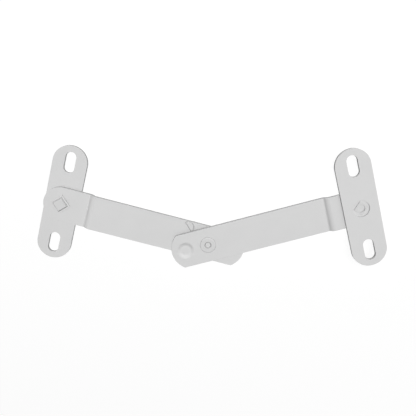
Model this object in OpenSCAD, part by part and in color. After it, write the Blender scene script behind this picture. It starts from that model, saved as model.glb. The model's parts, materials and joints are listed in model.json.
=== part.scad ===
// Safety hinge: two slotted plates joined by a pair of joggled arms that cross at a centre rivet.
// The frame plate lies on its mounting face. The origin is on that face, on the axis of its pivot.
// The frame arm runs along +X, and the frame plate's slots are spaced along Y.

/* [Plates] */
// Length of a plate, over its round ends
plate_length = 62.2; // [56:0.1:90]
// Width of a plate
plate_width = 18; // [16:0.5:26]
// Thickness of a plate
plate_thickness = 2; // [1.5:0.1:3]
// Width of a screw slot
slot_width = 5.5; // [3.5:0.1:7]
// Length of a screw slot, end to end
slot_length = 11.1; // [8:0.1:14]
// Distance between the middles of the two slots
slot_spacing = 44.5; // [38:0.5:48]

/* [Arms] */
// Width of an arm
arm_width = 18; // [16:0.5:24]
// Thickness of an arm
arm_thickness = 2; // [1.5:0.1:2.5]
// Distance from the plate pivot to the centre pivot
pivot_spacing = 79.7; // [60:0.1:160]
// Gap between the two arms where they cross
arm_gap = 1.3; // [1.2:0.05:2]
// Radius of the arc that ends the tail
tail_radius = 11.2; // [10:0.1:16]
// Distance of that arc's middle beyond the centre pivot
tail_reach = 8.2; // [7:0.1:14]
// Angle between the two arms as shown
opening_angle = 150; // [100:1:170]

/* [Joggle] */
// Step from the arm's plate end up to its main length
joggle_height = 2; // [1.5:0.1:3]
// Distance from the plate pivot to the middle of the step
joggle_distance = 15.5; // [14:0.1:24]
// Bend radius of the step, to the middle of the sheet
joggle_radius = 2.2; // [1.6:0.1:5]

/* [Pivot studs] */
// Diameter of the stud where the arm turns on it
stud_diameter = 7.2; // [7.1:0.1:7.4]
// Side of the square foot staked into the plate
foot_side = 5.2; // [4.8:0.1:5.6]
// Diameter of the counterbore round the foot, in the plate's mounting face
counterbore_diameter = 8.5; // [8.1:0.1:11]
// Depth of the counterbore
counterbore_depth = 0.9; // [0.6:0.1:1.4]
// Distance of the foot's end below the plate's mounting face
foot_recess = 0.3; // [0.1:0.1:0.5]
// Diameter of the hollow in the foot
foot_hollow_diameter = 4; // [2.5:0.1:4.6]
// Depth of the hollow in the foot
foot_hollow_depth = 0.8; // [0.4:0.1:1.4]
// Diameter of the flange between plate and arm
flange_diameter = 12.6; // [11:0.1:16]
// Thickness of the flange between plate and arm
flange_thickness = 0.5; // [0.3:0.1:1]
// Side of the square tenon that carries the washer
tenon_side = 5; // [4.4:0.1:5]
// Side of the tenon's riveted head, which keeps the washer on
tenon_head_side = 5.9; // [5.4:0.1:6.6]
// Height of the tenon's riveted head
tenon_head_height = 0.8; // [0.8:0.05:1.2]
// Width of the bevel round the tenon's riveted head
tenon_bevel = 0.5; // [0.2:0.05:0.5]
// Side of the keyed washer
washer_side = 7.5; // [7.5:0.1:10]
// Thickness of the keyed washer
washer_thickness = 0.6; // [0.5:0.1:0.8]

/* [Centre rivet] */
// Diameter of the rivet's shank
rivet_diameter = 6; // [4:0.1:7]
// Diameter of the rolled head
rolled_head_diameter = 8.4; // [8:0.1:11]
// Height of the rolled head
rolled_head_height = 0.6; // [0.4:0.1:1]
// Diameter of the hollow in the rolled head, at its mouth
rolled_hollow_diameter = 3.6; // [3:0.1:3.8]
// Diameter of the hollow at its floor
rolled_hollow_floor = 2.6; // [1.6:0.1:3]
// Depth of the hollow in the rolled head
rolled_hollow_depth = 0.8; // [0.4:0.1:2]
// Diameter of the set head
set_head_diameter = 9.6; // [8:0.1:12]
// Height of the set head
set_head_height = 0.6; // [0.4:0.1:1]
// Bevel round the set head
set_head_bevel = 0.3; // [0.1:0.05:0.5]
// Diameter of the spacer ring between the arms
spacer_diameter = 13; // [10:0.1:14]

/* [Stops] */
// Distance of the stop rivet from the centre pivot, along the frame arm
stop_distance = 12.3; // [12:0.1:14]
// Radius of the stop rivet's half-round head
stop_radius = 3.2; // [2.8:0.1:3.6]
// Height of the head
stop_height = 1; // [0.8:0.05:1.1]
// Width of the bevel round the head
stop_bevel = 0.4; // [0.1:0.05:0.5]
// Diameter of the stop rivet's shank
stop_shank_diameter = 2.8; // [2:0.1:2.8]
// Distance of the sash arm's pressed pip beyond the centre pivot
pip_distance = 12.1; // [11.5:0.1:14]
// Diameter of the pip at its foot
pip_foot_diameter = 9.2; // [8:0.1:9.4]
// Diameter of the pip's flat top
pip_top_diameter = 4.8; // [3:0.1:4.8]
// Height of the pip
pip_height = 0.9; // [0.6:0.05:0.9]

/* [Clearances] */
// Gap all round a shaft that turns in a hole
running_clearance = 0.05; // [0.02:0.01:0.1]
// Gap between faces that slide on each other
end_play = 0.05; // [0.02:0.01:0.1]

/* [Hidden] */
$fn = 96;
cut = 0.1;
key_angle = 45;
pip_turn_step = 22.5;
steel = [0.83, 0.83, 0.83];
bright_steel = [0.78, 0.78, 0.79];
flange_top = plate_thickness + flange_thickness;
end_bottom = flange_top + end_play;
end_top = end_bottom + arm_thickness;
main_bottom = end_bottom + joggle_height;
main_top = main_bottom + arm_thickness;
washer_bottom = end_top + end_play;
washer_top = washer_bottom + washer_thickness;
tenon_top = washer_top + tenon_head_height;
tenon_bevel_height = 1.5 * tenon_bevel;
stop_shoulder = stop_height - 1.5 * stop_bevel;
stop_y = arm_width / 2 - stop_radius;
middle_height = main_top + arm_gap / 2;
far_main_bottom = main_top + arm_gap;
far_main_top = far_main_bottom + arm_thickness;
fold_angle = 180 - opening_angle;
tail_end = pivot_spacing + tail_reach + tail_radius;
arm_end = -arm_width / 2;
bend_angle = acos(1 - joggle_height / (2 * joggle_radius));
bend_run = joggle_radius * sin(bend_angle);
joggle_start = joggle_distance - bend_run;
joggle_end = joggle_distance + bend_run;
stop_x = pivot_spacing - stop_distance;
pip_x = pivot_spacing + pip_distance;

// Half a turn about the line that halves the angle between the arms carries the frame side to the sash side
module sash_side() {
    translate([pivot_spacing, 0, middle_height])
        rotate(180, [-sin(fold_angle / 2), cos(fold_angle / 2), 0])
            translate([-pivot_spacing, 0, -middle_height])
                children();
}

// Flat outline with two full-round ends, along Y
module stadium(length, width) {
    straight = length - width;
    square([width, straight], center = true);
    for (end = [-1, 1]) {
        translate([0, end * straight / 2])
            circle(d = width);
    }
}

// Square outline with its corners along and across the arm
module corner_square(side) {
    rotate(key_angle)
        square(side, center = true);
}

// Square peg with a bevelled free end
module bevelled_peg(side, height, bevel, bevel_height) {
    wide = side * sqrt(2);
    narrow = (side - 2 * bevel) * sqrt(2);
    linear_extrude(height - bevel_height)
        corner_square(side);
    translate([0, 0, height - bevel_height])
        cylinder(h = bevel_height, d1 = wide, d2 = narrow, $fn = 4);
}

// Stadium with two screw slots, a square hole for the stud and a counterbore in the mounting face
module plate() {
    color(steel)
        difference() {
            linear_extrude(plate_thickness)
                difference() {
                    stadium(plate_length, plate_width);
                    for (end = [-1, 1]) {
                        translate([0, end * slot_spacing / 2])
                            stadium(slot_length, slot_width);
                    }
                    corner_square(foot_side);
                }
            translate([0, 0, -cut])
                cylinder(h = counterbore_depth + cut, d = counterbore_diameter);
        }
}

// Sector of a ring: one bend of the sheet, seen from its edge
module bend(start_angle) {
    outer = joggle_radius + arm_thickness / 2;
    reach = 2 * outer;
    intersection() {
        difference() {
            circle(r = outer);
            circle(r = outer - arm_thickness);
        }
        polygon([
            [0, 0],
            reach * [cos(start_angle), sin(start_angle)],
            reach * [cos(start_angle + bend_angle), sin(start_angle + bend_angle)]
        ]);
    }
}

// The arm's sheet seen from its edge: plate end, two bends, main length
module arm_side() {
    translate([arm_end, end_bottom])
        square([joggle_start - arm_end, arm_thickness]);
    translate([joggle_start, end_bottom + arm_thickness / 2 + joggle_radius])
        bend(-90);
    translate([joggle_end, main_bottom + arm_thickness / 2 - joggle_radius])
        bend(90);
    translate([joggle_end, main_bottom])
        square([tail_end - joggle_end, arm_thickness]);
}

// The arm seen from above: round plate end, straight sides, shallow arc on the tail
module arm_outline() {
    arc_x = pivot_spacing + tail_reach;
    circle(d = arm_width);
    translate([0, -arm_width / 2])
        square([arc_x, arm_width]);
    intersection() {
        translate([arc_x, 0])
            circle(r = tail_radius);
        translate([arc_x, -arm_width / 2])
            square([tail_radius, arm_width]);
    }
}

// The pressing that both arms start from, with its two pivot holes
module arm_blank() {
    difference() {
        intersection() {
            rotate([90, 0, 0])
                translate([0, 0, -arm_width])
                    linear_extrude(2 * arm_width)
                        arm_side();
            linear_extrude(main_top + cut)
                arm_outline();
        }
        translate([0, 0, end_bottom - cut])
            cylinder(h = arm_thickness + 2 * cut, r = stud_diameter / 2 + running_clearance);
        translate([pivot_spacing, 0, main_bottom - cut])
            cylinder(h = arm_thickness + 2 * cut, r = rivet_diameter / 2 + running_clearance);
    }
}

module frame_arm() {
    color(steel)
        difference() {
            arm_blank();
            stop_place()
                translate([stop_radius / 2, 0, -cut])
                    cylinder(h = arm_thickness + 2 * cut, d = stop_shank_diameter);
        }
}

// The pip pressed in the tail stands in the gap and meets the stop rivet when the arms are just past straight
module tail_pip() {
    foot = pip_foot_diameter / 2;
    flank = foot - pip_top_diameter / 2;
    translate([pip_x, 0, main_bottom])
        rotate_extrude()
            polygon([
                [0, 0],
                for (turn = [0:pip_turn_step:180])
                    [foot - flank * turn / 180, pip_height * (1 - cos(turn)) / 2],
                [0, pip_height]
            ]);
}

module sash_arm() {
    color(steel)
        sash_side()
            difference() {
                union() {
                    arm_blank();
                    translate([0, 0, arm_thickness])
                        tail_pip();
                }
                tail_pip();
            }
}

// Stud: square foot staked in the plate, flange, round bearing for the arm, square tenon for the washer
module pivot_stud() {
    color(bright_steel)
        difference() {
            union() {
                translate([0, 0, foot_recess])
                    linear_extrude(plate_thickness - foot_recess)
                        corner_square(foot_side);
                translate([0, 0, plate_thickness])
                    cylinder(h = flange_thickness, d = flange_diameter);
                translate([0, 0, flange_top])
                    cylinder(h = washer_bottom - flange_top, d = stud_diameter);
                translate([0, 0, washer_bottom])
                    linear_extrude(washer_thickness)
                        corner_square(tenon_side);
                translate([0, 0, washer_top])
                    bevelled_peg(tenon_head_side, tenon_head_height, tenon_bevel, tenon_bevel_height);
            }
            translate([0, 0, foot_recess - cut])
                cylinder(h = foot_hollow_depth + cut, d = foot_hollow_diameter);
        }
}

module pivot_washer() {
    color(steel)
        translate([0, 0, washer_bottom])
            linear_extrude(washer_thickness)
                difference() {
                    corner_square(washer_side);
                    corner_square(tenon_side);
                }
}

// Puts its children at the middle of the stop's flat, with the stop's round side along X
module stop_place() {
    translate([stop_x, stop_y, main_bottom])
        rotate(key_angle)
            children();
}

// Rivet with a half-round head that touches the arm's edge line, set flush in the arm's outer face
module stop_rivet() {
    color(bright_steel)
        stop_place() {
            translate([stop_radius / 2, 0, 0])
                cylinder(h = arm_thickness, d = stop_shank_diameter);
            translate([0, 0, arm_thickness])
                half_round_head();
        }
}

// Half a disc, bevelled on its round side and its flat
module half_round_head() {
    wide = 2 * stop_radius;
    intersection() {
        union() {
            cylinder(h = stop_shoulder, r = stop_radius);
            translate([0, 0, stop_shoulder])
                cylinder(h = stop_height - stop_shoulder, r1 = stop_radius, r2 = stop_radius - stop_bevel);
        }
        rotate([90, 0, 0])
            translate([0, 0, -stop_radius])
                linear_extrude(wide)
                    polygon([
                        [0, 0], [wide, 0], [wide, stop_height],
                        [stop_bevel, stop_height], [0, stop_shoulder]
                    ]);
    }
}

// Half-hollow rivet: set head under the frame arm, head rolled over on the sash arm
module centre_rivet() {
    head_bottom = far_main_top + end_play;
    head_top = head_bottom + rolled_head_height;
    set_head_face = set_head_diameter - 2 * set_head_bevel;
    color(bright_steel)
        translate([pivot_spacing, 0, 0])
            difference() {
                union() {
                    translate([0, 0, main_bottom - set_head_height])
                        cylinder(h = set_head_height, d1 = set_head_face, d2 = set_head_diameter);
                    translate([0, 0, main_bottom])
                        cylinder(h = head_bottom - main_bottom, d = rivet_diameter);
                    translate([0, 0, head_bottom])
                        rotate_extrude()
                            rolled_head_section();
                }
                translate([0, 0, head_top - rolled_hollow_depth])
                    cylinder(h = rolled_hollow_depth, d1 = rolled_hollow_floor, d2 = rolled_hollow_diameter);
            }
}

// Half section of the rolled head, rounded over at its rim
module rolled_head_section() {
    square([rolled_head_diameter / 2 - rolled_head_height, rolled_head_height]);
    translate([rolled_head_diameter / 2 - rolled_head_height, 0])
        intersection() {
            circle(r = rolled_head_height);
            square(rolled_head_height);
        }
}

module centre_spacer() {
    color(steel)
        translate([pivot_spacing, 0, main_top])
            linear_extrude(arm_gap - end_play)
                difference() {
                    circle(d = spacer_diameter);
                    circle(d = rivet_diameter + 2 * running_clearance);
                }
}

plate();  // frame_plate
sash_side() plate();  // sash_plate
frame_arm();
sash_arm();
pivot_stud();  // frame_pivot_stud
sash_side() pivot_stud();  // sash_pivot_stud
pivot_washer();  // frame_pivot_washer
sash_side() pivot_washer();  // sash_pivot_washer
stop_rivet();
centre_rivet();
centre_spacer();
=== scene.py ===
# %% [markdown]
# # Safety hinge
# Two slotted plates, two joggled arms and the rivets that join them, all in satin zinc plated steel. The
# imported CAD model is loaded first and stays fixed. Each piece is then rebuilt or finished in its place,
# so the hinge keeps its sizes and its joints, and gains the rolled edges, the struck rivets and the grain
# of the real one.

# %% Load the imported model
import json
import math

import bmesh
import bpy
from mathutils import Matrix, Vector


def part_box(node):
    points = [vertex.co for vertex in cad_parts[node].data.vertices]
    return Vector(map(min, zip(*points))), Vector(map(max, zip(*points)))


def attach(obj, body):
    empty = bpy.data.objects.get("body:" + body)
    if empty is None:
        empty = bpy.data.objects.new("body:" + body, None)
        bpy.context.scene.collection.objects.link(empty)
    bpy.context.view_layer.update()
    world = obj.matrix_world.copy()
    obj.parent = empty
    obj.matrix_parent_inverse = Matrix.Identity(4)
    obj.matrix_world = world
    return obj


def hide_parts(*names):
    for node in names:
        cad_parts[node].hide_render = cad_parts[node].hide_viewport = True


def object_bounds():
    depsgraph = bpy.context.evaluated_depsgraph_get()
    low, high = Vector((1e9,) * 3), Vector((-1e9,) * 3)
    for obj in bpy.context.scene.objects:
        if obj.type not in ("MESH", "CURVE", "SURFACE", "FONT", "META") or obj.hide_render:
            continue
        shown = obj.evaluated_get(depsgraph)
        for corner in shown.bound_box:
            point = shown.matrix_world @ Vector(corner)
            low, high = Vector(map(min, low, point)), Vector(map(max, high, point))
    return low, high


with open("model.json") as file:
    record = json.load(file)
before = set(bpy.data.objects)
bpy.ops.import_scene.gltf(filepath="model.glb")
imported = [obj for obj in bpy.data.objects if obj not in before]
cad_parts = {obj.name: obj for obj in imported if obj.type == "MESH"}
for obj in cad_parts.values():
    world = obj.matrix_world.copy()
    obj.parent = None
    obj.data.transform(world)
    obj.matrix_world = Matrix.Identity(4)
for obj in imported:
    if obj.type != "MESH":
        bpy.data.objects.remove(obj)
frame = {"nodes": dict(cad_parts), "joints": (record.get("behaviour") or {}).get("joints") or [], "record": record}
cad_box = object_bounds()
MM = 0.001
print("CAD box, mm:", [[round(value / MM, 2) for value in corner] for corner in cad_box])

# %% [markdown]
# The frame already holds the sizes that matter. The joints give the pivots, the first mount gives the
# screw slots, and each node's box gives its thickness. The sash side is the frame side turned over about
# a line through the centre pivot, so one half turn places the second copy of every piece that the hinge
# has twice.

# %% Read the sizes from the frame
pivot = {joint["name"]: Vector(joint["pos_m"]) for joint in frame["joints"]}
slots = {mount["name"]: mount["dims"] for mount in frame["record"]["mounts"]}["frame_slots"]


def size_of(node):
    """The width, depth and height of a CAD node."""
    low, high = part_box(node)
    return high - low


plate_width, plate_length, plate_thickness = size_of("frame_plate")
washer_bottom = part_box("frame_pivot_washer")[0].z
washer_corner, _, washer_thickness = size_of("frame_pivot_washer")
middle_height = (cad_box[0].z + cad_box[1].z) / 2
turning_point = pivot["centre_pivot"] + Vector((0, 0, middle_height))
fold_line = (pivot["frame_pivot"] + pivot["sash_pivot"]) / 2 - pivot["centre_pivot"]
half_turn = (
    Matrix.Translation(turning_point)
    @ Matrix.Rotation(math.pi, 4, fold_line)
    @ Matrix.Translation(-turning_point)
)
sash_angle = math.atan2(*(pivot["sash_pivot"] - pivot["centre_pivot"]).yx)
print("plate, mm:", [round(value / MM, 2) for value in (plate_width, plate_length, plate_thickness)])
print("sash arm turned by", round(math.degrees(sash_angle), 2), "degrees")

# %% [markdown]
# The camera looks down on the hinge as it lies, a little from above the middle of the picture, with the
# hinge's fold at the bottom. Its place, its line of sight and its lens were found by fitting the plates'
# outlines. A camera looks along its own -Z, so its turn is built from the line of sight and the direction
# that is up in the picture.

# %% Set the camera
camera_place = Vector((59.10, 76.87, 247.10)) * MM
line_of_sight = Vector((0.0632, -0.2357, -0.9698)).normalized()
picture_up = Vector((-0.2510, 0.9368, -0.2440)).normalized()
picture_right = line_of_sight.cross(picture_up).normalized()
camera_turn = Matrix((picture_right, picture_right.cross(line_of_sight), -line_of_sight)).transposed()

lens = bpy.data.cameras.new("photo lens")
lens.sensor_width = 36
lens.lens = 41.41
lens.clip_start = 10 * MM
lens.clip_end = 20
camera = bpy.data.objects.new("photo camera", lens)
camera.matrix_world = Matrix.Translation(camera_place) @ camera_turn.to_4x4()
bpy.context.scene.collection.objects.link(camera)
bpy.context.scene.camera = camera
tilt = math.degrees(line_of_sight.angle(Vector((0, 0, -1))))
print("camera tilt from straight down:", round(tilt, 2), "degrees")

# %% [markdown]
# A node tree is a recipe, for a shape as for a material, and both kinds are written here with one helper.
# It adds a node, sets its options, and gives each input a value or the output of an earlier node. Reading
# the recipes is then reading plain Python from top to bottom.

# %% A helper that adds one node to a tree
def step(tree, kind, inputs=None, output=0, **options):
    """Adds a node, sets its options, fills its inputs with values or sockets, and returns one output."""
    node = tree.nodes.new(kind)
    for option, value in options.items():
        setattr(node, option, value)
    for name, value in (inputs or {}).items():
        for source in value if isinstance(value, list) else [value]:
            if isinstance(source, bpy.types.NodeSocket):
                tree.links.new(source, node.inputs[name])
            else:
                node.inputs[name].default_value = source
    return node.outputs[output]


def sum_up(tree, operation, first, second):
    """One sum of two numbers or sockets."""
    return step(tree, "ShaderNodeMath", {0: first, 1: second}, operation=operation)


# %% [markdown]
# The sheet is steel with a satin zinc plate. Its colour drifts a little from place to place, and the
# rolling of the sheet leaves fine lines along its length, which change the gloss more than the colour.
# Stretched noise gives the lines, soft noise gives the drift, and a small bump makes the lines catch the
# light. The pattern reads Object coordinates, turned to each piece's own length.

# %% The satin zinc finish
zinc_grey = 0.66
zinc_drift = 0.03
satin_roughness = 0.44
line_gloss = 0.05
grain_gloss = 0.03
line_stretch = 0.04
lines_to_metre = 5200
grains_to_metre = 3800
patches_to_metre = 90


def new_material(name):
    """An empty material with its surface shader, and the Object coordinates of the piece."""
    material = bpy.data.materials.new(name)
    material.use_nodes = True
    tree = material.node_tree
    tree.nodes.clear()
    shader = tree.nodes.new("ShaderNodeBsdfPrincipled")
    surface = tree.nodes.new("ShaderNodeOutputMaterial")
    tree.links.new(shader.outputs[0], surface.inputs["Surface"])
    place = step(tree, "ShaderNodeTexCoord", output="Object")
    return material, tree, shader, place


def grey(level):
    """A neutral grey as a colour."""
    return (level, level, level, 1)


def between(tree, factor, low, high, from_low=0.3, from_high=0.7):
    """Carries a value from one range of numbers, which suits noise if none is given, to another."""
    inputs = {"Value": factor, "From Min": from_low, "From Max": from_high, "To Min": low, "To Max": high}
    return step(tree, "ShaderNodeMapRange", inputs)


def noise(tree, place, scale, detail):
    """Soft noise with so many patches to the metre."""
    return step(tree, "ShaderNodeTexNoise", {"Vector": place, "Scale": scale, "Detail": detail})


def two_greys(tree, factor, dark, light):
    """A colour between two greys."""
    return step(tree, "ShaderNodeMix", {0: factor, 6: grey(dark), 7: grey(light)}, output=2, data_type="RGBA")


def satin_zinc(name, length_angle):
    """Satin zinc plate on rolled sheet, with its rolling lines at an angle to X."""
    material, tree, shader, place = new_material(name)
    turned = step(tree, "ShaderNodeMapping", {"Vector": place, "Rotation": (0, 0, -length_angle)})
    stretched = step(tree, "ShaderNodeMapping", {"Vector": turned, "Scale": (line_stretch, 1, 1)})
    lines = noise(tree, stretched, lines_to_metre, 3)
    drift = noise(tree, place, patches_to_metre, 3)
    grain = noise(tree, place, grains_to_metre, 2)
    colour = two_greys(tree, drift, zinc_grey * (1 - zinc_drift), zinc_grey * (1 + zinc_drift))
    tree.links.new(colour, shader.inputs["Base Color"])
    along_lines = between(tree, lines, -line_gloss, line_gloss)
    gloss = sum_up(tree, "ADD", along_lines, between(tree, grain, -grain_gloss, grain_gloss))
    tree.links.new(sum_up(tree, "ADD", gloss, satin_roughness), shader.inputs["Roughness"])
    relief = sum_up(tree, "ADD", lines, sum_up(tree, "MULTIPLY", grain, 0.5))
    bump = step(tree, "ShaderNodeBump", {"Height": relief, "Strength": 0.12, "Distance": 0.01 * MM})
    tree.links.new(bump, shader.inputs["Normal"])
    shader.inputs["Metallic"].default_value = 0.25
    return material


# %% [markdown]
# A stamped edge isn't as bright as the face. The punch shears the first part of the wall and tears the
# rest, and the plate on that torn steel is dull. The walls therefore get a finish of their own, darker
# and rougher, with fine lines in the direction in which the punch went. Its grey is also darker than
# dull steel alone would be: that part is painted shade, which makes every steep wall look shaded.

# %% The finish for sheared walls, with painted shade
# painted shade: this grey is darker than dull plated steel alone, so the walls look shaded
sheared_shaded_grey = 0.43
sheared_drift = 0.12
shear_stretch = 0.12
shear_lines_to_metre = 4200


def sheared_shaded_edge(name):
    """Zinc plate on a punched wall, with upright lines, its grey darkened as painted shade."""
    material, tree, shader, place = new_material(name)
    stretched = step(tree, "ShaderNodeMapping", {"Vector": place, "Scale": (1, 1, shear_stretch)})
    lines = noise(tree, stretched, shear_lines_to_metre, 3)
    colour = two_greys(tree, lines, sheared_shaded_grey * (1 - sheared_drift), sheared_shaded_grey * (1 + sheared_drift))
    tree.links.new(colour, shader.inputs["Base Color"])
    tree.links.new(between(tree, lines, 0.52, 0.68), shader.inputs["Roughness"])
    bump = step(tree, "ShaderNodeBump", {"Height": lines, "Strength": 0.25, "Distance": 0.02 * MM})
    tree.links.new(bump, shader.inputs["Normal"])
    shader.inputs["Metallic"].default_value = 0.05
    shader.inputs["Specular IOR Level"].default_value = 0.2
    return material


# %% [markdown]
# The studs and rivets are turned from bar, so their faces carry fine rings about the axis. The riveting
# press leaves the steep sides that it struck duller than the faces, and their grey is set darker still, as
# painted shade on those sides, so the finish takes its grey from the caller. A ring wave gives the rings:
# the coordinates are first moved so that the axis is at zero.

# %% The turned steel finish
rivet_grey = 0.64
# painted shade: the struck grey is darker than dull steel alone, so steep sides look shaded
struck_shaded_grey = 0.50
turned_drift = 0.05
turned_grains_to_metre = 2600


def turned_steel(name, axis_point, level=rivet_grey):
    """Zinc plate on a turned face, with rings about an upright axis."""
    material, tree, shader, place = new_material(name)
    centred = step(tree, "ShaderNodeVectorMath", {0: place, 1: axis_point}, operation="SUBTRACT")
    flat = step(tree, "ShaderNodeVectorMath", {0: centred, 1: (1, 1, 0)}, operation="MULTIPLY")
    waves = {"Vector": flat, "Scale": 900, "Distortion": 0.6, "Detail": 2}
    rings = step(tree, "ShaderNodeTexWave", waves, output="Fac", wave_type="RINGS", rings_direction="Z")
    grain = noise(tree, place, turned_grains_to_metre, 3)
    colour = two_greys(tree, grain, level * (1 - turned_drift), level * (1 + turned_drift))
    tree.links.new(colour, shader.inputs["Base Color"])
    along_rings = between(tree, rings, 0.36, 0.44, 0, 1)
    gloss = sum_up(tree, "ADD", along_rings, between(tree, grain, -grain_gloss, grain_gloss))
    tree.links.new(gloss, shader.inputs["Roughness"])
    bump = step(tree, "ShaderNodeBump", {"Height": rings, "Strength": 0.10, "Distance": 0.01 * MM})
    tree.links.new(bump, shader.inputs["Normal"])
    shader.inputs["Metallic"].default_value = 0.30
    return material


# %% Make the finishes
across = math.pi / 2
# the wall finish is dull sheared steel with painted shade
sheared_shaded_finish = sheared_shaded_edge("sheared edge")
frame_plate_finish = satin_zinc("satin zinc, frame plate", across)
sash_plate_finish = satin_zinc("satin zinc, sash plate", across + sash_angle)
frame_arm_finish = satin_zinc("satin zinc, frame arm", 0)
sash_arm_finish = satin_zinc("satin zinc, sash arm", sash_angle)
washer_finish = satin_zinc("satin zinc, washers", 0)
frame_stud_finish = turned_steel("turned steel, frame stud", pivot["frame_pivot"])
sash_stud_finish = turned_steel("turned steel, sash stud", pivot["sash_pivot"])
centre_finish = turned_steel("turned steel, centre rivet", pivot["centre_pivot"])
# the struck finishes carry painted shade for the steep sides
frame_struck_shaded_finish = turned_steel("struck steel, frame stud", pivot["frame_pivot"], struck_shaded_grey)
sash_struck_shaded_finish = turned_steel("struck steel, sash stud", pivot["sash_pivot"], struck_shaded_grey)
centre_struck_shaded_finish = turned_steel("struck steel, centre rivet", pivot["centre_pivot"], struck_shaded_grey)
print("finishes made:", len(bpy.data.materials))

# %% [markdown]
# Every stamped piece here is an outline with a wall round it. The wall has its own profile: a small burr
# side below, a straight wall, and above it the roll-over that the punch leaves where it enters the sheet.
# In Geometry Nodes the profile is swept along the outline, and the open rims of the wall are filled to
# make the faces.

# %% A profile for the wall of a stamped sheet
roll_over = 0.15 * MM
washer_roll_over = roll_over / 2
burr_side = 0.08 * MM
arc_steps = 4
burr_steps = 2


def profile_curve(name, points):
    """A poly curve. Its x runs outwards from the path, and its -y is the height, which the sweep turns up."""
    curve = bpy.data.curves.new(name, "CURVE")
    curve.dimensions = "3D"
    spline = curve.splines.new("POLY")
    spline.points.add(len(points) - 1)
    for point, (outward, height) in zip(spline.points, points):
        point.co = (outward, -height, 0, 1)
    helper = bpy.data.objects.new(name, curve)
    bpy.context.scene.collection.objects.link(helper)
    return helper


def arc(centre_x, centre_height, radius, start, end, steps=arc_steps):
    """Points on an arc, from one angle to another in degrees."""
    turns = [math.radians(start + (end - start) * index / steps) for index in range(steps + 1)]
    return [(centre_x + radius * math.cos(turn), centre_height + radius * math.sin(turn)) for turn in turns]


def stamped_profile(name, thickness, rolled, burr):
    """Burr side at the bottom, straight wall, roll-over at the top."""
    points = arc(-burr, burr, burr, -90, 0, burr_steps) + arc(-rolled, thickness - rolled, rolled, 0, 90)
    return profile_curve(name, points)


bore_depth = 0.9 * MM
sheet_edge = stamped_profile("sheet edge", plate_thickness, roll_over, burr_side)
washer_edge = stamped_profile("washer edge", washer_thickness, washer_roll_over, burr_side)
bore_mouth = arc(-burr_side, burr_side, burr_side, -90, 0, burr_steps)
bore_edge = profile_curve("bore edge", [*bore_mouth, (0, bore_depth)])
square_edge = profile_curve("square edge", [(0, bore_depth), (0, plate_thickness)])
profiles = [sheet_edge, washer_edge, bore_edge, square_edge]
print("profiles:", [profile.name for profile in profiles])

# %% Node steps that the stamped pieces share
round_steps = 24
full_round = 0.4999
joined_within = 0.005 * MM
# faces steeper than this get the wall finish, which carries painted shade
shaded_wall_slope = 0.3


def new_tree(name, sizes, walls):
    """An empty recipe with a named input for each size, for each wall's profile and for the two finishes."""
    tree = bpy.data.node_groups.new(name, "GeometryNodeTree")
    tree.interface.new_socket("Geometry", in_out="OUTPUT", socket_type="NodeSocketGeometry")
    for size in sizes:
        tree.interface.new_socket(size, in_out="INPUT", socket_type="NodeSocketFloat")
    for wall in walls:
        tree.interface.new_socket(wall, in_out="INPUT", socket_type="NodeSocketObject")
    for finish in ("Face Finish", "Wall Finish"):
        tree.interface.new_socket(finish, in_out="INPUT", socket_type="NodeSocketMaterial")
    return tree, tree.nodes.new("NodeGroupInput").outputs


def stadium(tree, length, width):
    """An outline with two full-round ends, along Y."""
    box = step(tree, "GeometryNodeCurvePrimitiveQuadrilateral", {"Width": width, "Height": length})
    radius = sum_up(tree, "MULTIPLY", width, full_round)
    rounding = {"Curve": box, "Count": round_steps, "Radius": radius, "Limit Radius": True}
    return step(tree, "GeometryNodeFilletCurve", rounding, mode="POLY")


def as_hole(tree, outline):
    """A hole's wall faces the other way, so its outline runs the other way round."""
    return step(tree, "GeometryNodeReverseCurve", {"Curve": outline})


def joined(tree, parts):
    """Several geometries as one."""
    return step(tree, "GeometryNodeJoinGeometry", {"Geometry": parts})


def swept(tree, outline, profile_object):
    """The profile carried along the outline, upright all the way."""
    profile = step(tree, "GeometryNodeObjectInfo", {"Object": profile_object}, output="Geometry")
    upright = step(tree, "GeometryNodeSetCurveNormal", {"Curve": outline}, mode="Z_UP")
    walls = step(tree, "GeometryNodeCurveToMesh", {"Curve": upright, "Profile Curve": profile})
    return step(tree, "GeometryNodeSetShadeSmooth", {"Geometry": walls, "Shade Smooth": True})


def faces_on(tree, walls, levels):
    """Fills the rims of the walls at each level."""
    neighbours = step(tree, "GeometryNodeInputMeshEdgeNeighbors")
    rim = step(tree, "FunctionNodeCompare", {2: neighbours, 3: 1}, data_type="INT", operation="EQUAL")
    position = step(tree, "GeometryNodeInputPosition")
    height = step(tree, "ShaderNodeSeparateXYZ", {"Vector": position}, output="Z")
    faces = []
    for level in levels:
        nearly = {0: height, 1: level, "Epsilon": joined_within}
        same = step(tree, "FunctionNodeCompare", nearly, operation="EQUAL")
        chosen = step(tree, "FunctionNodeBooleanMath", {0: rim, 1: same}, operation="AND")
        loop = step(tree, "GeometryNodeMeshToCurve", {"Mesh": walls, "Selection": chosen})
        face = step(tree, "GeometryNodeFillCurve", {"Curve": loop}, mode="TRIANGLES")
        lift = step(tree, "ShaderNodeCombineXYZ", {"Z": level})
        moved = step(tree, "GeometryNodeTransform", {"Geometry": face, "Translation": lift})
        faces.append(step(tree, "GeometryNodeSetShadeSmooth", {"Geometry": moved, "Shade Smooth": False}))
    return faces


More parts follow.
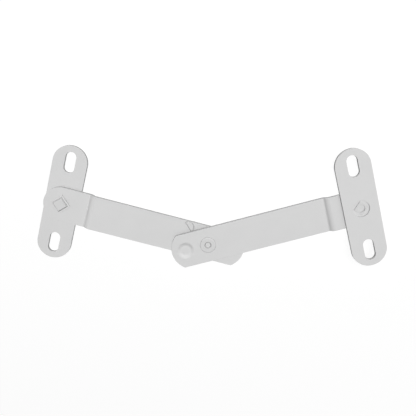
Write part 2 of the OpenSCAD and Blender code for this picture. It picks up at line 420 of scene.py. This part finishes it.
def finish_tree(tree, sizes, parts):
    """Joins the parts, gives faces their finish and walls their finish with painted shade, and ends the recipe."""
    whole = step(tree, "GeometryNodeRealizeInstances", {"Geometry": joined(tree, parts)})
    merged = step(tree, "GeometryNodeMergeByDistance", {"Geometry": whole, "Distance": joined_within})
    normal = step(tree, "GeometryNodeInputNormal")
    slope = step(tree, "ShaderNodeSeparateXYZ", {"Vector": normal}, output="Z")
    steep = step(tree, "ShaderNodeMath", {0: slope}, operation="ABSOLUTE")
    # steep faces are chosen for the wall finish, which is painted shade as well as dull steel
    wall = step(tree, "FunctionNodeCompare", {0: steep, 1: shaded_wall_slope}, operation="LESS_THAN")
    faced = step(tree, "GeometryNodeSetMaterial", {"Geometry": merged, "Material": sizes["Face Finish"]})
    shaded_walls_input = {"Geometry": faced, "Selection": wall, "Material": sizes["Wall Finish"]}
    done = step(tree, "GeometryNodeSetMaterial", shaded_walls_input)
    tree.links.new(done, tree.nodes.new("NodeGroupOutput").inputs["Geometry"])
    print("recipe:", tree.name, "with", len(tree.nodes), "nodes")
    return tree


# %% [markdown]
# A plate is a stadium with a screw slot near each end, and in the middle a square hole at the foot of a
# round counterbore, where its stud is staked. The two slots are copies of one outline on two points.
# Three kinds of wall meet here, so the recipe has three profiles, and faces at three levels: the mounting
# face, the counterbore's floor and the far face.

# %% Outlines for the holes
key_angle = math.radians(45)


def round_hole(tree, diameter):
    """A circle whose wall faces its middle."""
    circle = {"Resolution": 4 * round_steps, "Radius": sum_up(tree, "MULTIPLY", diameter, 0.5)}
    return as_hole(tree, step(tree, "GeometryNodeCurvePrimitiveCircle", circle, mode="RADIUS"))


def corner_square(tree, side):
    """A square with its corners along and across the arm."""
    square = step(tree, "GeometryNodeCurvePrimitiveQuadrilateral", {"Width": side, "Height": side})
    return step(tree, "GeometryNodeTransform", {"Geometry": square, "Rotation": (0, 0, key_angle)})


# %% The slotted plate as a recipe
def slotted_plate():
    """A stadium plate with two slots and a counterbored square hole."""
    plate_names = ["Length", "Width", "Thickness"]
    hole_names = ["Slot Length", "Slot Width", "Slot Spacing", "Bore", "Bore Depth", "Square"]
    profile_names = ["Edge Profile", "Bore Profile", "Square Profile"]
    tree, sizes = new_tree("slotted plate", plate_names + hole_names, profile_names)
    outer = stadium(tree, sizes["Length"], sizes["Width"])
    slot = as_hole(tree, stadium(tree, sizes["Slot Length"], sizes["Slot Width"]))
    first = step(tree, "ShaderNodeCombineXYZ", {"Y": sum_up(tree, "MULTIPLY", sizes["Slot Spacing"], -0.5)})
    gap = step(tree, "ShaderNodeCombineXYZ", {"Y": sizes["Slot Spacing"]})
    two_places = {"Count": 2, "Start Location": first, "Offset": gap}
    places = step(tree, "GeometryNodeMeshLine", two_places, mode="OFFSET")
    copies = step(tree, "GeometryNodeInstanceOnPoints", {"Points": places, "Instance": slot})
    both = step(tree, "GeometryNodeRealizeInstances", {"Geometry": copies})
    edges = swept(tree, joined(tree, [outer, both]), sizes["Edge Profile"])
    bore = swept(tree, round_hole(tree, sizes["Bore"]), sizes["Bore Profile"])
    square = swept(tree, as_hole(tree, corner_square(tree, sizes["Square"])), sizes["Square Profile"])
    walls = joined(tree, [edges, bore, square])
    faces = faces_on(tree, walls, [0, sizes["Bore Depth"], sizes["Thickness"]])
    return finish_tree(tree, sizes, [walls, *faces])


plate_recipe = slotted_plate()

# %% [markdown]
# A recipe becomes a piece in three moves. It is put on an empty mesh as a modifier with its sizes set,
# the result is turned into a plain mesh with the modifier gone, and the mesh is put in its place. Only
# then does the piece ride on its body and stand for the CAD nodes.

# %% Turning a recipe into a piece
def plain_mesh(helper):
    """The evaluated shape of an object as a clean mesh with its faces outwards."""
    evaluated = helper.evaluated_get(bpy.context.evaluated_depsgraph_get())
    mesh = bpy.data.meshes.new_from_object(evaluated)
    work = bmesh.new()
    work.from_mesh(mesh)
    bmesh.ops.recalc_face_normals(work, faces=work.faces)
    work.to_mesh(mesh)
    work.free()
    return mesh


def put(name, mesh, body, nodes):
    """Links a finished mesh as a piece that rides on a body and stands for CAD nodes."""
    piece = bpy.data.objects.new(name, mesh)
    mesh.name = name
    bpy.context.scene.collection.objects.link(piece)
    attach(piece, body)
    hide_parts(*nodes)
    print("piece:", name, "with", len(mesh.polygons), "faces")
    return piece


def made_by(recipe, values):
    """Runs a recipe with its inputs set by socket identifier, and returns the plain mesh."""
    helper = bpy.data.objects.new(recipe.name, bpy.data.meshes.new(recipe.name))
    modifier = helper.modifiers.new(recipe.name, "NODES")
    modifier.node_group = recipe
    for socket in recipe.interface.items_tree:
        if socket.in_out == "INPUT":
            modifier[socket.identifier] = values[socket.name]
    bpy.context.scene.collection.objects.link(helper)
    mesh = plain_mesh(helper)
    bpy.data.objects.remove(helper)
    return mesh


# %% Make the two plates
bore_diameter = 8.5 * MM
foot_side = 5.2 * MM
plate_sizes = {
    "Length": plate_length,
    "Width": plate_width,
    "Thickness": plate_thickness,
    "Slot Length": slots["slot_length_mm"] * MM,
    "Slot Width": 2 * slots["hole_r_mm"] * MM,
    "Slot Spacing": slots["spacing_y_mm"] * MM,
    "Bore": bore_diameter,
    "Bore Depth": bore_depth,
    "Square": foot_side,
    "Edge Profile": sheet_edge,
    "Bore Profile": bore_edge,
    "Square Profile": square_edge,
    "Wall Finish": sheared_shaded_finish,
}
frame_plate_mesh = made_by(plate_recipe, {**plate_sizes, "Face Finish": frame_plate_finish})
put("slotted_plate_frame", frame_plate_mesh, "frame_plate_body", ["frame_plate"])
sash_plate_mesh = made_by(plate_recipe, {**plate_sizes, "Face Finish": sash_plate_finish})
sash_plate_mesh.transform(half_turn)
put("slotted_plate_sash", sash_plate_mesh, "sash_plate_body", ["sash_plate"])

# %% [markdown]
# A keyed washer is the same idea with a square outline, its corners a little rounded, and a square hole,
# which keeps it from turning on its stud.

# %% The keyed washer as a recipe
corner_steps = 6
washer_rounding = 0.3 * MM


def keyed_washer():
    """A square washer with a square hole, its corners along and across the arm."""
    tree, sizes = new_tree("keyed washer", ["Side", "Corner", "Thickness", "Square"], ["Edge Profile"])
    sharp = corner_square(tree, sizes["Side"])
    rounding = {"Curve": sharp, "Count": corner_steps, "Radius": sizes["Corner"], "Limit Radius": True}
    outer = step(tree, "GeometryNodeFilletCurve", rounding, mode="POLY")
    hole = as_hole(tree, corner_square(tree, sizes["Square"]))
    walls = swept(tree, joined(tree, [outer, hole]), sizes["Edge Profile"])
    return finish_tree(tree, sizes, [walls, *faces_on(tree, walls, [0, sizes["Thickness"]])])


washer_recipe = keyed_washer()
tenon_side = 5.0 * MM
washer_sizes = {
    "Side": washer_corner / math.sqrt(2),
    "Corner": washer_rounding,
    "Thickness": washer_thickness,
    "Square": tenon_side,
    "Edge Profile": washer_edge,
    "Face Finish": washer_finish,
    "Wall Finish": sheared_shaded_finish,
}
for side, place in (("frame", Matrix()), ("sash", half_turn)):
    washer_mesh = made_by(washer_recipe, washer_sizes)
    washer_mesh.transform(place @ Matrix.Translation((0, 0, washer_bottom)))
    put(f"keyed_washer_{side}", washer_mesh, f"{side}_plate_body", [f"{side}_pivot_washer"])

# %% [markdown]
# The arms, the studs and the rivets already have their true shape in the CAD model. They only lack the
# soft edges that stamping, tumbling and riveting leave, so each gets a copy of its CAD mesh with a bevel.
# The copy is merged first, because a CAD mesh is loose triangles, and its flat faces are joined, so that
# the bevel runs clean along the edges.

# %% Soft edges on copies of the CAD pieces
welded_within = 0.002 * MM
flat_within = math.radians(0.5)
sharp_from = math.radians(35)
level_slope = 0.9999
broad_face = 5 * MM * MM


def soft_edged(node, width, finishes, steep=shaded_wall_slope):
    """A copy of a CAD mesh with small round edges. A second finish, darker as painted shade, goes on its steep
    walls.
    """
    mesh = frame["nodes"][node].data.copy()
    mesh.materials.clear()
    for finish in finishes:
        mesh.materials.append(finish)
    work = bmesh.new()
    work.from_mesh(mesh)
    bmesh.ops.remove_doubles(work, verts=work.verts, dist=welded_within)
    bmesh.ops.dissolve_limit(work, angle_limit=flat_within, verts=work.verts, edges=work.edges)
    for face in work.faces:
        # steep faces take the second finish, which carries painted shade
        face.material_index = 1 if abs(face.normal.z) < steep else 0
        face.smooth = True
    work.to_mesh(mesh)
    work.free()
    helper = bpy.data.objects.new(node, mesh)
    bpy.context.scene.collection.objects.link(helper)
    bevel = helper.modifiers.new("soft edge", "BEVEL")
    bevel.width = width
    bevel.segments = 3
    bevel.limit_method = "ANGLE"
    bevel.angle_limit = sharp_from
    evaluated = helper.evaluated_get(bpy.context.evaluated_depsgraph_get())
    result = bpy.data.meshes.new_from_object(evaluated)
    bpy.data.objects.remove(helper)
    for face in result.polygons:
        level = abs(face.normal.z) > level_slope
        broad = face.area > broad_face
        face.use_smooth = not (level or broad)
    return result


# %% Make the arms, studs and rivets
arm_edge = 0.12 * MM
rivet_edge = 0.1 * MM
frame_arm_mesh = soft_edged("frame_arm", arm_edge, [frame_arm_finish, sheared_shaded_finish])
put("joggled_arm_frame", frame_arm_mesh, "frame_arm_body", ["frame_arm"])
sash_arm_mesh = soft_edged("sash_arm", arm_edge, [sash_arm_finish, sheared_shaded_finish])
put("joggled_arm_sash", sash_arm_mesh, "sash_arm_body", ["sash_arm"])
# faces steeper than this get the struck finish, which carries painted shade
struck_shaded_slope = 0.7
centre_finishes = [centre_finish, centre_struck_shaded_finish]
for node, body, slot, finishes in (
    ("frame_pivot_stud", "frame_plate_body", "rivets", [frame_stud_finish, frame_struck_shaded_finish]),
    ("sash_pivot_stud", "sash_plate_body", "rivets", [sash_stud_finish, sash_struck_shaded_finish]),
    ("centre_rivet", "frame_arm_body", "rivets", centre_finishes),
    ("stop_rivet", "frame_arm_body", "rivets", centre_finishes),
    ("centre_spacer", "frame_arm_body", "washers", centre_finishes),
):
    put(f"soft_{node}", soft_edged(node, rivet_edge, finishes, struck_shaded_slope), body, [node])
for profile in profiles:
    bpy.data.objects.remove(profile)

# %% [markdown]
# The floor is a plain pale sheet under the hinge. It is a real surface that takes the hinge's shadow. For
# the rays that show it, most of its light is its own and the rest is paint that a shadow can darken, so
# that it looks as white as a studio sweep without more light on the steel. The lamps light the paint to
# about nine tenths of what is written, which is the lamp share. The paint fades out away from the hinge,
# where the sweep would curve up.

# %% The floor
floor_reach = 4.0
floor_white = 0.6
paint_share = 0.8
lamp_share = 0.96
fade_start = 0.15
fade_end = 0.5


def shown_rays(tree):
    """1 for the rays that show a background: straight from the camera, in a reflection, or through glass."""
    path = tree.nodes.new("ShaderNodeLightPath")
    seen = sum_up(tree, "MAXIMUM", path.outputs["Is Camera Ray"], path.outputs["Is Glossy Ray"])
    return sum_up(tree, "MAXIMUM", seen, path.outputs["Is Transmission Ray"])


floor_mesh = bpy.data.meshes.new("floor")
corners = [(floor_reach * x, floor_reach * y, 0) for x, y in ((-1, -1), (1, -1), (1, 1), (-1, 1))]
floor_mesh.from_pydata(corners, [], [(0, 1, 2, 3)])
floor = bpy.data.objects.new("floor", floor_mesh)
bpy.context.scene.collection.objects.link(floor)
pale = bpy.data.materials.new("pale floor")
pale.use_nodes = True
pale_tree = pale.node_tree
pale_tree.nodes.clear()
shown = shown_rays(pale_tree)
spot = step(pale_tree, "ShaderNodeTexCoord", output="Object")
distance = step(pale_tree, "ShaderNodeVectorMath", {0: spot}, output="Value", operation="LENGTH")
kept = between(pale_tree, distance, paint_share, 0, fade_start, fade_end)
lost = sum_up(pale_tree, "MULTIPLY", shown, sum_up(pale_tree, "SUBTRACT", 1, kept))
paint = step(pale_tree, "ShaderNodeBsdfDiffuse", {"Color": two_greys(pale_tree, lost, floor_white, 0)})
lit_paint = sum_up(pale_tree, "MULTIPLY", kept, floor_white * lamp_share)
own_light = sum_up(pale_tree, "SUBTRACT", 1, lit_paint)
glow = step(pale_tree, "ShaderNodeEmission", {"Strength": sum_up(pale_tree, "MULTIPLY", shown, own_light)})
both_lights = step(pale_tree, "ShaderNodeAddShader", {0: paint, 1: glow})
pale_tree.links.new(both_lights, pale_tree.nodes.new("ShaderNodeOutputMaterial").inputs["Surface"])
floor_mesh.materials.append(pale)
print("floor, m:", 2 * floor_reach)

# %% [markdown]
# The light is two soft lamps and an even sky. The fill lamp, above the top of the picture, gives most of
# the light, and walls and slopes that face it are the light ones. It casts no shadow. The weak lamp
# beside the camera casts the soft shadow on the floor. Together they light a flat face so that its colour
# renders about as written.

# %% The lamps and the sky
def soft_lamp(name, direction, distance, width, power, casts_shadow):
    """A square area lamp that faces the middle of the hinge."""
    light = bpy.data.lights.new(name, "AREA")
    light.size = width
    light.energy = power
    light.use_shadow = casts_shadow
    lamp = bpy.data.objects.new(name, light)
    away = Vector(direction).normalized()
    middle = (cad_box[0] + cad_box[1]) / 2
    lamp.location = middle + away * distance
    lamp.rotation_euler = (-away).to_track_quat("-Z", "Y").to_euler()
    lamp.visible_glossy = False
    bpy.context.scene.collection.objects.link(lamp)
    return lamp


lamp_distance = 2.0
above_picture = (-0.03, 0.60, 0.80)
beside_camera = (-0.08, 0.24, 0.97)
soft_lamp("fill lamp", above_picture, lamp_distance, width=0.6, power=33.0, casts_shadow=False)
soft_lamp("shadow lamp", beside_camera, lamp_distance, width=0.9, power=8.0, casts_shadow=True)
sky = bpy.data.worlds.new("even sky")
sky.use_nodes = True
sky_tree = sky.node_tree
sky_tree.nodes.clear()
sky_level = 0.15
even = step(sky_tree, "ShaderNodeBackground", {"Color": grey(1), "Strength": sky_level})
white = step(sky_tree, "ShaderNodeBackground", {"Color": grey(1), "Strength": 1})
mixed_sky = step(sky_tree, "ShaderNodeMixShader", {0: shown_rays(sky_tree), 1: even, 2: white})
sky_tree.links.new(mixed_sky, sky_tree.nodes.new("ShaderNodeOutputWorld").inputs["Surface"])
bpy.context.scene.world = sky
bpy.context.scene.view_settings.view_transform = "Standard"
print("lamps:", len(bpy.data.lights))
